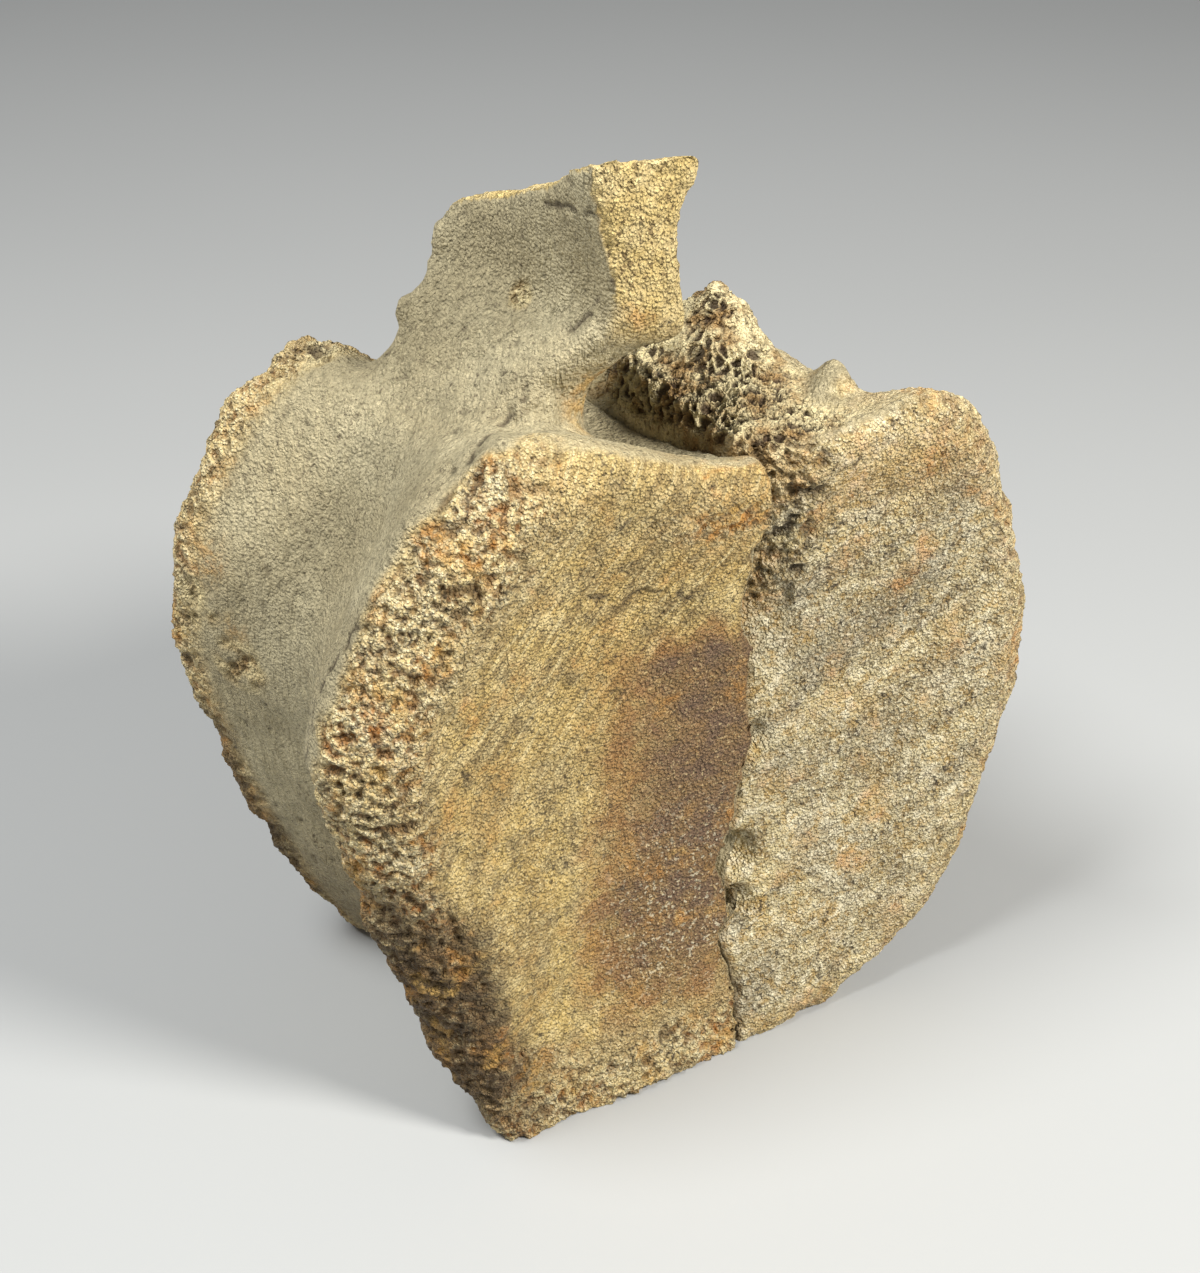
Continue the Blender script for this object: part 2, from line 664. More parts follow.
def relief(place):
    """How far the worn surface stands off the plain form at a place, and how deep its pits are."""
    point = place.point
    if place.fractured:
        return 0.0, 0.0
    lift = 0.30 * MM * noise.noise(point / 0.007) + 0.12 * MM * noise.noise(point / 0.0026)
    pit = 0.0
    if place.rim > 0.01:
        crests = crunch(point, RIM_LUMP)
        holes = smooth(0.10, 0.40, noise.noise(point / RIM_PIT + Vector((3, 5, 7))))
        lift += place.rim * (0.62 * MM * crests - 0.55 * MM * holes + 0.7 * MM * noise.noise(point / 0.009))
        shadowed = 0.8 * (1 - smooth(0.050, 0.085, point.z)) * smooth(-0.35, 0.15, noise.noise(point / 0.006))
        shadowed *= smooth(0.025, 0.045, -point.x)
        pit = max(pit, place.rim * max(0.8 * holes, smooth(0.15, -0.55, crests), shadowed))
    if place.gutter > 0.01:
        flakes = crunch(point, 0.0040)
        lift += place.gutter * (1.1 * MM * flakes - 0.8 * MM * noise.noise(point / 0.009))
        pit = max(pit, place.gutter * (0.25 + 0.75 * smooth(0.25, -0.4, flakes)))
    if place.sponge > 0.01:
        pores = sponge_pores(point)
        rough = noise.fractal(point / 0.006, 0.8, 2.0, 3)
        lift += place.sponge * (0.9 * MM * rough - SPONGE_DEPTH * pores)
        pit = max(pit, place.sponge * pores)
    if place.broken > 0.01:
        grain = noise.noise(point / 0.0016) + 0.6 * noise.noise(point / 0.0009)
        lift += place.broken * (0.26 * MM * grain + 0.30 * MM * crunch(point, 0.005) - 0.2 * MM)
        pit = max(pit, place.broken * smooth(0.30, 0.60, -grain) * 0.6)
    end = place.front + place.rear
    if end > 0.01:
        grain = noise.noise(point / 0.0016) * 0.12 * MM
        dents = smooth(0.30, 0.55, noise.noise(point / 0.0042 + Vector((2, 8, 3))))
        lift += end * (1 - place.rim) * (grain - 0.40 * MM * dents)
    if place.side > 0.01:
        wrinkled = Vector((point.x / 0.0026, point.y / 0.0026, point.z / 0.0080))
        wrinkle = noise.noise(wrinkled + noise.noise_vector(point / 0.009))
        wrinkle += 0.9 * noise.noise(Vector((point.x, point.y, point.z * 0.6)) / 0.0065)
        holes = smooth(0.46, 0.62, noise.noise(point / 0.0017 + Vector((5, 2, 9))))
        lift += place.side * (0.27 * MM * wrinkle - 0.35 * MM * holes)
        pit = max(pit, place.side * 0.5 * holes)
    edge = crack_edge(place)
    chipped = smooth(-0.1, 0.5, noise.noise(point / 0.003))
    lift -= edge * (0.25 + 0.9 * chipped) * MM + 0.35 * MM * place.hairline
    return lift, min(1.0, max(pit, place.hairline))


def crack_edge(place):
    """1 on the skin close beside the fracture, 0 a couple of millimetres away."""
    x, y, z = place.point
    if place.share < 0.9 and not place.front:
        return 0.0
    return 1 - smooth(0.0004, 0.0021, abs(x - crack_x(y, z)))


def landmarks(place):
    """Height added for the small named features."""
    if place.right_half:
        return -sum(depth * MM * place.near(spot, reach) for spot, reach, depth in NOTCHES)
    jags = sum(rise * MM * place.near(spot, reach) for spot, reach, rise in ARCH_JAGS)
    return jags + 1.7 * MM * place.near(KNOB, 4.2) + 1.5 * MM * place.near((-44, 77, 142), 5) * (1 - place.sponge)


def stain_share(place):
    """The brown stain beside the crack on the left half, and the grey clouds on the right one."""
    x, y, z = place.point
    beside = (crack_x(y, z) - x) / MM
    x, z = x / MM, z / MM
    if place.right_half:
        slant = hill(z - 84 - 0.5 * (x - 22), 0, (0, 0), (8, 1)) * smooth(18, 30, x) * (1 - smooth(52, 66, x))
        spots = hill(x, z, (57, 120), (7, 6)) + 0.6 * hill(x, z, (44, 60), (8, 7)) + 0.6 * hill(x, z, (25, 66), (6, 5))
        return place.front * min(1.0, 0.7 * slant + 0.9 * spots)
    reach = between(37, 33, smooth(60, 100, z)) + 7 * noise.noise(Vector((x, z, 0)) / 13)
    reach += 4 * noise.noise(Vector((x, z, 4)) / 4)
    across = 1 - smooth(0.38 * reach, 1.08 * reach, beside)
    top = 106 + 5 * noise.noise(Vector((x, z, 9)) / 7)
    upright = smooth(6, 36, z) * (1 - smooth(top - 8, top + 2, z))
    return place.front * (1 - place.rim) * across * upright


def amber_share(place):
    """Orange and amber patches: by the crack's top, at the canal, and scattered on the rims."""
    x, _, z = (value / MM for value in place.point)
    patches = noise.noise(place.point / 0.008 + Vector((4, 4, 4))) + 0.3 * noise.noise(place.point / 0.002)
    amber = 0.75 * place.rim * smooth(0.05, 0.40, patches)
    if place.right_half:
        amber = max(amber, place.front * 0.60 * smooth(0.15, 0.50, patches))
        amber = max(amber, 0.8 * hill(x, z, (46, 128), (14, 7)) * place.front)
        return max(amber, 0.9 * place.near((14, 17, 138), 8), 0.7 * place.near((13, 9, 134), 6))
    amber = max(amber, place.front * 0.60 * smooth(0.12, 0.48, patches))
    layers = smooth(-0.1, 0.3, noise.noise(Vector((x / 9, 0, z / 0.8))))
    amber = max(amber, 0.8 * layers * hill(x, z, (2, 139), (11, 3)) * (1 - smooth(0.010, 0.018, place.depth)))
    amber = max(amber, place.front * hill(x, z, (4, 130), (8, 7)))
    amber = max(amber, 0.6 * place.front * hill(x, z, (-18, 104), (5, 12)))
    amber = max(amber, 0.55 * place.near((-71, 66, 109), 6), 0.5 * place.near((-68, 60, 96), 4))
    return max(amber, 0.75 * place.near((-11, 19, 149), 7))


def refined(bone, right_half):
    """Halves the faces where the surface is rough, so that it can carry finer relief."""
    mesh = bone.data
    mesh.update()
    only(bone)
    bpy.ops.object.mode_set(mode="EDIT")
    bpy.ops.mesh.select_mode(type="FACE")
    bpy.ops.mesh.select_all(action="DESELECT")
    bpy.ops.object.mode_set(mode="OBJECT")
    for face in mesh.polygons:
        place = Place(face.center + CENTRE, face.normal, right_half)
        rough = place.rim + place.sponge + place.broken + place.gutter + (place.crack_away < 0.0018)
        face.select = rough > 0.2 and not place.fractured
    bpy.ops.object.mode_set(mode="EDIT")
    bpy.ops.mesh.subdivide(number_cuts=1, smoothness=0.0)
    bpy.ops.mesh.select_all(action="SELECT")
    bpy.ops.mesh.quads_convert_to_tris(quad_method="BEAUTY", ngon_method="BEAUTY")
    bpy.ops.object.mode_set(mode="OBJECT")


def weathered(bone, right_half):
    """Wears the plain skin into bone surface, and stores what each point is made of."""
    mesh = bone.data
    mesh.update()
    normals = [Vector(normal.vector) for normal in mesh.vertex_normals]
    shares = {name: [0.0] * len(mesh.vertices) for name in REGIONS}
    for vertex, normal in zip(mesh.vertices, normals):
        place = Place(vertex.co + CENTRE, normal, right_half)
        lift, pit = relief(place)
        lift += landmarks(place)
        index = vertex.index
        shares["rim"][index] = place.rim
        shares["sponge"][index] = place.sponge
        shares["broken"][index] = place.broken
        shares["pit"][index] = pit
        shares["side"][index] = place.side
        shares["stain"][index] = stain_share(place)
        shares["amber"][index] = amber_share(place)
        shares["crack"][index] = crack_edge(place)
        moved = vertex.co + normal * lift
        moved.z = max(moved.z, 0.0)
        vertex.co = moved
    for name, values in shares.items():
        attribute = mesh.attributes.new(name, "FLOAT", "POINT")
        attribute.data.foreach_set("value", values)


class Socket:
    """A shader socket that takes part in Python sums, and adds the Math nodes they need."""

    def __init__(self, shader, link):
        self.shader, self.link = shader, link

    def math(self, operation, *others, clamp=False):
        settings = {"operation": operation, "use_clamp": clamp}
        return self.shader.node("ShaderNodeMath", settings, [self, *others])

    def __add__(self, other):
        return self.math("ADD", other)

    def __sub__(self, other):
        return self.math("SUBTRACT", other)

    def __rsub__(self, other):
        return self.shader.node("ShaderNodeMath", {"operation": "SUBTRACT"}, [other, self])

    def __mul__(self, other):
        return self.math("MULTIPLY", other)

    def __truediv__(self, other):
        return self.math("DIVIDE", other)

    __radd__ = __add__
    __rmul__ = __mul__

    def clamped(self):
        return self.math("ADD", 0.0, clamp=True)

    def step(self, low, high):
        """A soft step from 0 at low to 1 at high."""
        settings = {"interpolation_type": "SMOOTHSTEP"}
        return self.shader.node("ShaderNodeMapRange", settings, {"Value": self, "From Min": low, "From Max": high})


class Shader:
    """One material and the nodes that colour it."""

    def __init__(self, name):
        self.material = bpy.data.materials.new(name)
        self.material.use_nodes = True
        self.tree = self.material.node_tree
        self.surface = self.tree.nodes["Principled BSDF"]

    def node(self, kind, settings, inputs, output=0):
        """Adds one node, sets it, then fills its sockets by name or in order."""
        node = self.tree.nodes.new(kind)
        for key, value in settings.items():
            setattr(node, key, value)
        pairs = inputs.items() if isinstance(inputs, dict) else enumerate(inputs)
        for key, value in pairs:
            self.fill(node.inputs[key], value)
        return Socket(self, node.outputs[output])

    def fill(self, socket, value):
        if isinstance(value, Socket):
            self.tree.links.new(value.link, socket)
        else:
            socket.default_value = value

    def attribute(self, name):
        return self.node("ShaderNodeAttribute", {"attribute_name": name}, {}, output="Fac")

    def object_place(self):
        return self.node("ShaderNodeTexCoord", {}, {}, output="Object")

    def stretched(self, place, scale, turn=(0.0, 0.0, 0.0)):
        inputs = {"Vector": place, "Scale": scale, "Rotation": turn}
        return self.node("ShaderNodeMapping", {"vector_type": "TEXTURE"}, inputs)

    def grain(self, place, size, detail=3.0, roughness=0.55, distortion=0.0):
        """Soft noise from 0 to 1, of the given grain size in metres."""
        inputs = {
            "Vector": place, "Scale": 1 / size, "Detail": detail,
            "Roughness": roughness, "Distortion": distortion,
        }
        return self.node("ShaderNodeTexNoise", {}, inputs)

    def cells(self, place, size, feature="F1"):
        inputs = {"Vector": place, "Scale": 1 / size}
        return self.node("ShaderNodeTexVoronoi", {"feature": feature}, inputs, output="Distance")

    def mix(self, share, first, second, blend="MIX"):
        settings = {"data_type": "RGBA", "blend_type": blend}
        node = self.tree.nodes.new("ShaderNodeMix")
        for key, value in settings.items():
            setattr(node, key, value)
        self.fill(node.inputs[0], share)
        self.fill(node.inputs[6], first)
        self.fill(node.inputs[7], second)
        return Socket(self, node.outputs[2])

    def brightened(self, colour, factor):
        """A colour scaled by a number at each point."""
        node = self.tree.nodes.new("ShaderNodeVectorMath")
        node.operation = "SCALE"
        self.fill(node.inputs["Vector"], colour)
        self.fill(node.inputs["Scale"], factor)
        return Socket(self, node.outputs["Vector"])

    def bump(self, height, distance, strength=1.0):
        inputs = {"Height": height, "Distance": distance, "Strength": strength}
        return self.node("ShaderNodeBump", {}, inputs)

    def wear(self, colour, roughness, normal):
        """Links what changes over the surface to the shader."""
        self.fill(self.surface.inputs["Base Color"], colour)
        self.fill(self.surface.inputs["Roughness"], roughness)
        self.fill(self.surface.inputs["Normal"], normal)
        self.surface.inputs["Specular IOR Level"].default_value = 0.32


def with_alpha(colour):
    return (*colour, 1.0)


def fossil_material(name, colours, right_half):
    """Fossil bone: grey-cream skin, tan or pale end face, rugose rims, sponge and fresh breaks."""
    s = Shader(name)
    place = s.object_place()
    across = s.node("ShaderNodeSeparateXYZ", {}, [place], output="X")
    height_above = s.node("ShaderNodeSeparateXYZ", {}, [place], output="Z")
    rim, sponge, broken, pit, side, stain, amber, crack = (s.attribute(region) for region in REGIONS)

    cloud = s.grain(place, 0.020, 4.0)
    field = s.grain(place, 0.011, 5.0, 0.65)
    patch = s.grain(place, 0.0065, 4.0, 0.6)
    mottle = s.grain(place, 0.0024, 4.0, 0.65)
    fine = s.grain(place, 0.0007, 2.0, 0.6)
    speck = s.grain(place, 0.0010, 1.5, 0.5)
    grit = s.cells(place, 0.00062).step(0.25, 0.75)
    coarse = s.cells(place, 0.0013).step(0.30, 0.80)
    growth = s.stretched(place, (0.012, 0.012, 0.0011), (0.0, math.radians(-52), 0.0))
    striation = s.grain(growth, 1.0, 4.0, 0.7, 0.4)
    smear = s.grain(s.stretched(place, (0.030, 0.010, 0.006), (0.0, math.radians(-30), 0.0)), 1.0, 4.0, 0.65)
    fibre = s.grain(s.stretched(place, (0.0011, 0.0011, 0.009)), 1.0, 4.0, 0.65, 0.2)

    blotch = s.grain(place, 0.0045, 5.0, 0.7).step(0.58, 0.66) * speck.step(0.44, 0.56)

    def tint(colour_name):
        return with_alpha(getattr(colours, colour_name))

    # The end face
    if right_half:
        face = s.mix(cloud.step(0.35, 0.65), tint("pale_bone"), tint("side_cream"))
        face = s.mix(height_above.step(0.095, 0.135) * 0.65, face, tint("fresh_pale"))
        face = s.mix(smear.step(0.50, 0.66) * 0.55, face, tint("grey_bone"))
        face = s.mix(field.step(0.52, 0.62) * 0.50, face, tint("white_speck"))
        face = s.mix(field.step(0.47, 0.37) * 0.45, face, tint("tan_grey"))
        face = s.mix(patch.step(0.46, 0.34) * 0.60, face, tint("ochre"))
        face = s.mix(mottle.step(0.52, 0.64) * 0.65, face, tint("white_speck"))
        face = s.mix(mottle.step(0.48, 0.36) * 0.70, face, tint("ochre"))
        face = s.mix((stain * (mottle.step(0.35, 0.60) * 0.7 + 0.5)).clamped() * 0.85, face, tint("grey_bone"))
        face = s.mix(coarse * patch.step(0.44, 0.62) * 0.45, face, tint("brown_fleck"))
        face = s.mix(grit * (patch.step(0.40, 0.60) * 0.35 + 0.10), face, tint("brown_fleck"))
        face = s.mix(fine.step(0.52, 0.64) * 0.45, face, tint("white_speck"))
        face = s.mix(speck.step(0.58, 0.66) * smear.step(0.42, 0.60) * 0.8, face, tint("dark_speck"))
    else:
        upper = height_above.step(0.060, 0.105)
        face = s.mix(cloud.step(0.35, 0.68), tint("tan_bone"), tint("golden_bone"))
        face = s.mix(upper * 0.70, face, tint("golden_bone"))
        face = s.mix(patch.step(0.48, 0.62) * 0.60, face, tint("tan_grey"))
        face = s.mix(field.step(0.47, 0.37) * 0.40, face, tint("ochre"))
        face = s.mix(field.step(0.54, 0.64) * 0.45, face, tint("cream_fleck"))
        face = s.mix(mottle.step(0.52, 0.64) * 0.50, face, tint("cream_fleck"))
        face = s.mix(mottle.step(0.46, 0.35) * 0.40, face, tint("brown_fleck"))
        face = s.mix(grit * (patch.step(0.40, 0.60) * 0.35 + 0.12), face, tint("brown_fleck"))
        face = s.mix(fine.step(0.52, 0.64) * (0.55 - upper * 0.3), face, tint("cream_fleck"))
        face = s.mix(striation.step(0.50, 0.60) * (upper * 0.42 + 0.10), face, tint("brown_fleck"))
        face = s.mix(striation.step(0.46, 0.36) * (upper * 0.75 + 0.10), face, tint("cream_fleck"))
        face = s.mix(speck.step(0.60, 0.68) * smear.step(0.48, 0.62) * 0.7, face, tint("dark_speck"))
        brown = s.mix(patch.step(0.38, 0.62), tint("brown_stain"), tint("purple_stain"))
        brown = s.mix(grit * 0.45, brown, tint("dark_stain"))
        brown = s.mix(fine.step(0.56, 0.70) * 0.40, brown, tint("cream_fleck"))
        brown = s.mix(speck.step(0.58, 0.66) * height_above.step(0.075, 0.045) * 0.6, brown, tint("white_speck"))
        halo = stain * (1 - stain) * 4 * patch.step(0.35, 0.60)
        face = s.mix(halo * 0.65, face, tint("amber"))
        face = s.mix((stain * (mottle * 0.9 + 0.62)).clamped() * 0.94, face, brown)

    # The smooth grey-cream skin of the sides and the arch
    skin = s.mix(cloud.step(0.32, 0.68), tint("side_bone"), tint("side_cream"))
    skin = s.mix(fibre.step(0.50, 0.68) * 0.45, skin, tint("side_shade"))
    skin = s.mix(fibre.step(0.44, 0.32) * 0.40, skin, tint("cream_bone"))
    skin = s.mix(patch.step(0.56, 0.72) * 0.35, skin, tint("side_shade"))
    skin = s.mix(speck.step(0.64, 0.70) * 0.55, skin, tint("dark_speck"))
    skin = s.mix(grit * 0.16, skin, tint("side_shade"))
    skin = s.mix(height_above.step(0.060, 0.015) * 0.45, skin, tint("brown_fleck"))
    skin = s.mix(pit * 0.9, skin, tint("dark_speck"))

    # The rugose rims: cream crests over orange-brown hollows
    crest = s.mix(patch.step(0.38, 0.62), tint("cream_bone"), tint("cream_fleck"))
    crest = s.mix(grit * 0.45, crest, tint("ochre"))
    crest = s.mix(fine.step(0.54, 0.66) * 0.45, crest, tint("white_speck"))
    hollow = s.mix(cloud.step(0.42, 0.60), tint("rim_pit"), tint("rust"))
    rugose = s.mix((pit * 0.85 + mottle.step(0.54, 0.66) * 0.45).clamped(), crest, hollow)
    rugose = s.mix(speck.step(0.55, 0.64) * 0.65, rugose, tint("dark_speck"))
    if not right_half:
        low = height_above.step(0.085, 0.050) * height_above.step(0.004, 0.020) * across.step(-0.032, -0.048)
        rugose = s.mix(low * mottle.step(0.66, 0.46) * 0.90, rugose, tint("rim_pit"))
        rugose = s.mix(low * patch.step(0.40, 0.58) * 0.65, rugose, tint("dark_speck"))
    rugose = s.mix(blotch * 0.8, rugose, tint("dark_speck"))

    # Open spongy bone: pale walls round dark pores
    wall = s.mix(patch.step(0.42, 0.66), tint("sponge_wall"), tint("amber_wall"))
    open_bone = s.mix(pit.step(0.20, 0.95) * 0.92, wall, tint("pore"))
    open_bone = s.mix(speck.step(0.58, 0.66) * 0.6, open_bone, tint("pore"))

    # The freshly broken arch
    fresh = s.mix(patch.step(0.35, 0.70), tint("fresh_bone"), tint("fresh_pale"))
    fresh = s.mix(grit * 0.32, fresh, tint("fresh_shade"))
    fresh = s.mix(coarse * 0.25, fresh, tint("fresh_shade"))
    fresh = s.mix((speck.step(0.58, 0.66) * 0.75 + pit * 0.3).clamped(), fresh, tint("fresh_speck"))

    face = s.mix(blotch * 0.75, face, tint("dark_speck"))
    colour = s.mix(side, face, skin)
    colour = s.mix(rim, colour, rugose)
    colour = s.mix((pit * (1 - sponge) * (1 - broken) * (1 - rim) * (1 - side) * 0.85).clamped(), colour, tint("dark_speck"))
    stained = s.mix(patch.step(0.35, 0.65), tint("amber"), tint("ochre"))
    colour = s.mix((amber * (mottle.step(0.40, 0.60) * 0.8 + 0.15)).clamped(), colour, stained)
    colour = s.mix(sponge, colour, open_bone)
    colour = s.mix(broken, colour, fresh)
    colour = s.mix(crack * 0.45, colour, tint("rim_pit"))
    shade = (fine - 0.5) * 0.9 + (mottle - 0.5) * 0.7 + 1.06
    colour = s.brightened(colour, shade)

    streaks = s.mix(side, smear * 0.6 if right_half else striation * 0.9, fibre * 1.3)
    height = fine * 0.45 + mottle * 0.75 - grit * (1 - side * 0.5) * 0.35 - coarse * (1 - side) * 0.2 + streaks
    normal = s.bump(height, 0.0013, 1.0)
    roughness = 0.50 + mottle * 0.25 + sponge * 0.10
    s.wear(colour, roughness, normal)
    return s.material


def rgb(value):
    """A colour given as on screen, from 0 to 255, as the shader reads it."""
    shares = (channel / 255 for channel in value)
    return tuple(c / 12.92 if c <= 0.04045 else ((c + 0.055) / 1.055) ** 2.4 for c in shares)


def colour_property(name, description, value):
    return bpy.props.FloatVectorProperty(
        name=name, description=description, default=rgb(value), subtype="COLOR", min=0.0, max=1.0
    )


class FossilSizes(bpy.types.PropertyGroup):
    """Sizes of the bone's skin and its fracture."""

    skin_detail: bpy.props.FloatProperty(
        name="Skin detail", description="Edge length of the finished skin",
        default=0.00090, min=0.0005, max=0.003, unit="LENGTH",
    )
    fracture_gap: bpy.props.FloatProperty(
        name="Fracture gap", description="Width of the hairline between the two fragments",
        default=0.00030, min=0.0001, max=0.001, unit="LENGTH",
    )
    most_faces: bpy.props.IntProperty(
        name="Most faces", description="Triangles that one fragment may have", default=192000, min=20000
    )
    fillet_passes: bpy.props.IntProperty(
        name="Fillet passes", description="How softly the arch flows into the centrum", default=90, min=0
    )


class FossilColours(bpy.types.PropertyGroup):
    """Colours of fossil bone."""

    tan_bone: colour_property("Tan bone", "End face of the left fragment", (186, 160, 105))
    golden_bone: colour_property("Golden bone", "Warmer parts of the left end face", (220, 190, 118))
    tan_grey: colour_property("Tan grey", "Duller clouds on both end faces", (166, 148, 108))
    cream_fleck: colour_property("Cream fleck", "Pale yellow flecks", (224, 204, 150))
    brown_fleck: colour_property("Brown fleck", "Brown between the grains", (114, 90, 52))
    brown_stain: colour_property("Brown stain", "Stain beside the crack", (146, 114, 74))
    purple_stain: colour_property("Purple stain", "Darkest part of the stain", (124, 97, 76))
    dark_stain: colour_property("Dark stain", "Between the grains of the stain", (84, 64, 50))
    pale_bone: colour_property("Pale bone", "End face of the right fragment", (218, 200, 148))
    cream_bone: colour_property("Cream bone", "Pale crests and flakes", (218, 204, 160))
    ochre: colour_property("Ochre", "Yellow-brown grains and clouds", (190, 154, 86))
    grey_bone: colour_property("Grey bone", "Grey smears", (122, 112, 90))
    side_bone: colour_property("Side bone", "Skin of the sides and the arch", (174, 161, 126))
    side_cream: colour_property("Side cream", "Paler skin of the sides", (194, 182, 146))
    side_shade: colour_property("Side shade", "Darker streaks of the skin", (142, 130, 98))
    dark_speck: colour_property("Dark speck", "Dark mineral specks", (72, 60, 44))
    white_speck: colour_property("White speck", "White mineral specks", (232, 222, 190))
    rim_pit: colour_property("Rim pit", "Hollows of the rough rims", (108, 82, 48))
    rust: colour_property("Rust", "Rusty hollows of the rims", (156, 100, 42))
    amber: colour_property("Amber", "Orange and amber patches", (184, 124, 52))
    sponge_wall: colour_property("Sponge wall", "Walls of open spongy bone", (226, 210, 162))
    amber_wall: colour_property("Amber wall", "Stained walls of spongy bone", (164, 132, 84))
    pore: colour_property("Pore", "Depth of open pores", (70, 54, 38))
    fresh_bone: colour_property("Fresh bone", "Broken face of the arch", (226, 200, 132))
    fresh_pale: colour_property("Fresh pale", "Pale parts of the broken face", (238, 217, 160))
    fresh_shade: colour_property("Fresh shade", "Between the grains of the broken face", (158, 130, 76))
    fresh_speck: colour_property("Fresh speck", "Specks of the broken face", (112, 90, 54))


class StageSettings(bpy.types.PropertyGroup):
    """The floor and the lights."""

    floor_colour: colour_property("Floor colour", "Pale floor", (178, 179, 177))
    key_power: bpy.props.FloatProperty(
        name="Key light", description="Power of the soft key light", default=9.8, min=0.0, unit="POWER"
    )
    fill_power: bpy.props.FloatProperty(
        name="Fill light", description="Power of the fill light from the left", default=10.5, min=0.0, unit="POWER"
    )
    sky: bpy.props.FloatProperty(
        name="Sky", description="Strength of the even light from all round", default=0.20, min=0.0
    )


def fragment(name, form, right_half, nodes):
    """Builds, wears, colours and places one fragment."""
    sizes = bpy.context.scene.fossil_sizes
    side = 1 if right_half else -1
    centrum = lofted("centrum", centrum_rings(right_half), Vector((0, 0, 0)), Vector((0, 0, 0)))
    close_tips(centrum)
    block = fracture_block(side, sizes.fracture_gap)
    bone = joined_bone(name, [centrum, form], block, sizes.skin_detail)
    for vertex in bone.data.vertices:
        vertex.co -= CENTRE
    fillet(bone, right_half, sizes.fillet_passes)
    refined(bone, right_half)
    weathered(bone, right_half)
    triangles = len(bone.data.polygons)
    if triangles > sizes.most_faces:
        apply_modifier(bone, "DECIMATE", ratio=sizes.most_faces / triangles)
    bone.data.materials.clear()
    bone.data.materials.append(fossil_material(name + "_bone", bpy.context.scene.fossil_colours, right_half))
    only(bone)
    bpy.ops.object.shade_smooth()
    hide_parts(*nodes)
    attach(bone, "root")
    return bone


def close_tips(form):
    """Brings the two poles of a form to the middle of the rings next to them."""
    tips = [vertex for vertex in form.data.vertices if vertex.co.length < 1e-9]
    if len(tips) != 2:
        raise RuntimeError("the centrum should have two tips")
    beside = {tip.index: [] for tip in tips}
    for edge in form.data.edges:
        first, second = edge.vertices
        if first in beside:
            beside[first].append(second)
        if second in beside:
            beside[second].append(first)
    for tip in tips:
        places = [form.data.vertices[i].co for i in beside[tip.index]]
        tip.co = sum(places, Vector()) / len(places)


def fillet(bone, right_half, passes):
    """Lets the root of the arch flow into the centrum."""
    weights = []
    for vertex in bone.data.vertices:
        x, y, z = vertex.co + CENTRE
        depth = y + LENGTH / 2
        if right_half:
            across = (x / MM - STUMP_MIDDLE[0]) / STUMP_HALF_SPAN[0]
            along = (depth / MM - STUMP_MIDDLE[1]) / STUMP_HALF_SPAN[1]
            ring = (across**4 + along**4) ** 0.25
            weight = smooth(0.80, 0.95, ring) * (1 - smooth(1.25, 1.5, ring)) * smooth(0.118, 0.128, z)
        else:
            weight = smooth(0.114, 0.124, z) * (1 - smooth(0.147, 0.156, z)) * (1 - smooth(-0.010, -0.004, x))
            weight *= smooth(0.010, 0.016, depth) * (1 - smooth(0.068, 0.074, depth))
        weights.append(weight)
    group = vertex_group(bone, "foot", weights)
    apply_modifier(bone, "SMOOTH", factor=0.5, iterations=passes, vertex_group=group)


class VERTEBRA_OT_left_fragment(bpy.types.Operator):
    """Builds the left half of the centrum with the standing half of the neural arch"""

    bl_idname = "vertebra.left_fragment"
    bl_label = "Left fragment"

    def execute(self, context):
        arch = lofted("arch", *arch_rings())
        fragment("fragment_left", arch, False, ("centrum_left", "neural_arch_left"))
        return {"FINISHED"}


class VERTEBRA_OT_right_fragment(bpy.types.Operator):
    """Builds the right half of the centrum with the spongy root of the broken arch"""

    bl_idname = "vertebra.right_fragment"
    bl_label = "Right fragment"

    def execute(self, context):
        stump = lofted("stump", *stump_rings())
        fragment("fragment_right", stump, True, ("centrum_right", "neural_arch_right"))
        return {"FINISHED"}


def area_light(name, place, target, size, power, colour):
    deselect()
    bpy.ops.object.light_add(type="AREA", location=place)
    light = bpy.context.object
    light.name = name
    light.data.name = name
    light.data.shape = "DISK"
    light.data.size = size
    light.data.energy = power
    light.data.color = colour
    light.rotation_euler = (Vector(target) - Vector(place)).to_track_quat("-Z", "Y").to_euler()


class VERTEBRA_OT_stage(bpy.types.Operator):
    """Adds the pale floor, the soft lights and the camera"""

    bl_idname = "vertebra.stage"
    bl_label = "Stage"

    def execute(self, context):
        settings = context.scene.stage_settings
        deselect()
        bpy.ops.mesh.primitive_plane_add(size=6.0)
        floor = context.object
        floor.name = "floor"
        floor.data.materials.append(floor_material(settings.floor_colour))

        middle = (0.0, 0.0, 0.08)
        area_light("key", (0.30, -0.60, 0.66), middle, 0.22, settings.key_power, (1.0, 0.98, 0.95))
        area_light("fill", (-0.46, 0.02, 0.95), middle, 0.40, settings.fill_power, (0.98, 0.99, 1.0))

        world = bpy.data.worlds.new("studio")
        world.use_nodes = True
        background = world.node_tree.nodes["Background"]
        background.inputs["Color"].default_value = (0.93, 0.95, 1.0, 1.0)
        background.inputs["Strength"].default_value = settings.sky
        context.scene.world = world
        context.scene.view_settings.view_transform = "Standard"

        bpy.ops.object.camera_add(location=CAMERA_PLACE)
        camera = context.object
        camera.name = "camera"
        camera.data.sensor_width = 36.0
        camera.data.lens = CAMERA_LENS
        camera.data.clip_start = 0.01
        camera.rotation_euler = camera_look().to_track_quat("-Z", "Y").to_euler()
        context.scene.camera = camera
        return {"FINISHED"}


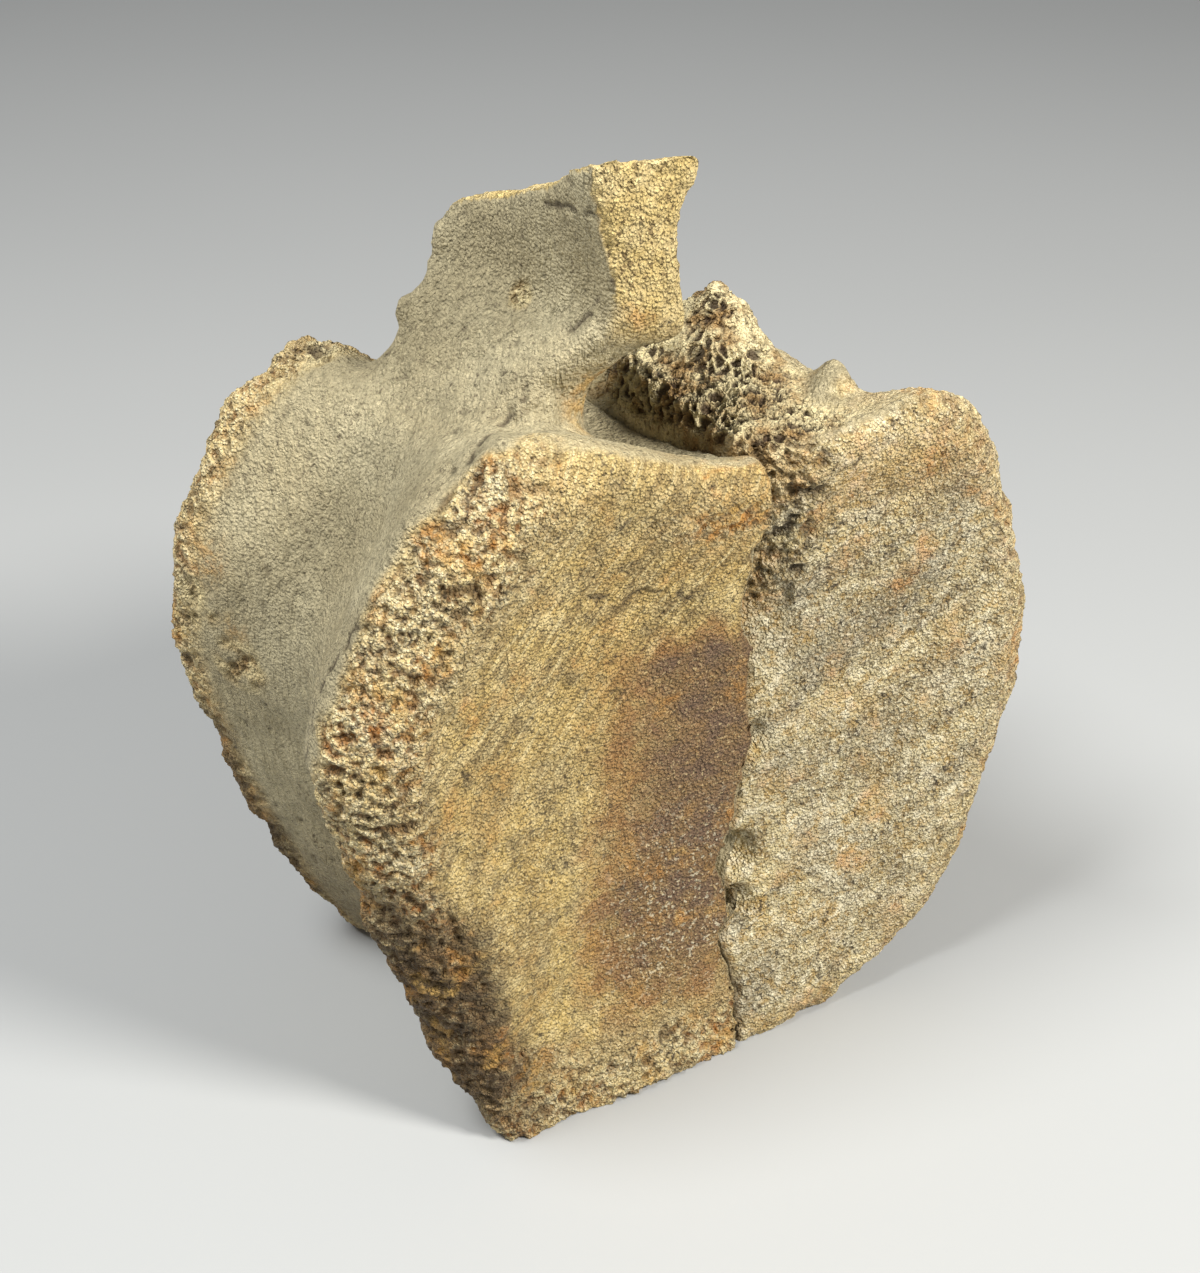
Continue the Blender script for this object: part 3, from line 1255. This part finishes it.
# The camera stands left of the front face and looks down on it
CAMERA_PLACE = Vector((-0.1634, -0.285, 0.306)) - CENTRE
CAMERA_LENS = 56.56
CAMERA_TURN = math.radians(30)
CAMERA_PITCH = math.radians(34)


def camera_look():
    level = math.cos(CAMERA_PITCH)
    return Vector((math.sin(CAMERA_TURN) * level, math.cos(CAMERA_TURN) * level, -math.sin(CAMERA_PITCH)))


def floor_material(colour):
    s = Shader("pale_floor")
    place = s.object_place()
    cloud = s.grain(place, 0.30, 2.0)
    tone = s.mix(cloud.step(0.3, 0.7) * 0.5, with_alpha(colour), s.mix(1.0, with_alpha(colour), (0.95, 0.95, 0.95, 1.0), "MULTIPLY"))
    s.wear(tone, 0.55 + cloud * 0.1, s.bump(s.grain(place, 0.004), 0.0001, 0.1))
    return s.material


class VERTEBRA_PT_panel(bpy.types.Panel):
    """Sidebar panel with the settings and the steps"""

    bl_label = "Fossil vertebra"
    bl_idname = "VERTEBRA_PT_panel"
    bl_space_type = "VIEW_3D"
    bl_region_type = "UI"
    bl_category = "Fossil"

    def draw(self, context):
        for group in (context.scene.fossil_sizes, context.scene.fossil_colours, context.scene.stage_settings):
            column = self.layout.column()
            for name in group.__annotations__:
                column.prop(group, name)
        for step in STEPS:
            self.layout.operator(step.bl_idname)


STEPS = (VERTEBRA_OT_stage, VERTEBRA_OT_left_fragment, VERTEBRA_OT_right_fragment)
CLASSES = (FossilSizes, FossilColours, StageSettings, *STEPS, VERTEBRA_PT_panel)


def register():
    for made in CLASSES:
        bpy.utils.register_class(made)
    bpy.types.Scene.fossil_sizes = bpy.props.PointerProperty(type=FossilSizes)
    bpy.types.Scene.fossil_colours = bpy.props.PointerProperty(type=FossilColours)
    bpy.types.Scene.stage_settings = bpy.props.PointerProperty(type=StageSettings)


def unregister():
    del bpy.types.Scene.stage_settings
    del bpy.types.Scene.fossil_colours
    del bpy.types.Scene.fossil_sizes
    for made in reversed(CLASSES):
        bpy.utils.unregister_class(made)


def main():
    register()
    bpy.ops.vertebra.stage()
    bpy.ops.vertebra.left_fragment()
    bpy.ops.vertebra.right_fragment()


if __name__ == "__main__":
    main()
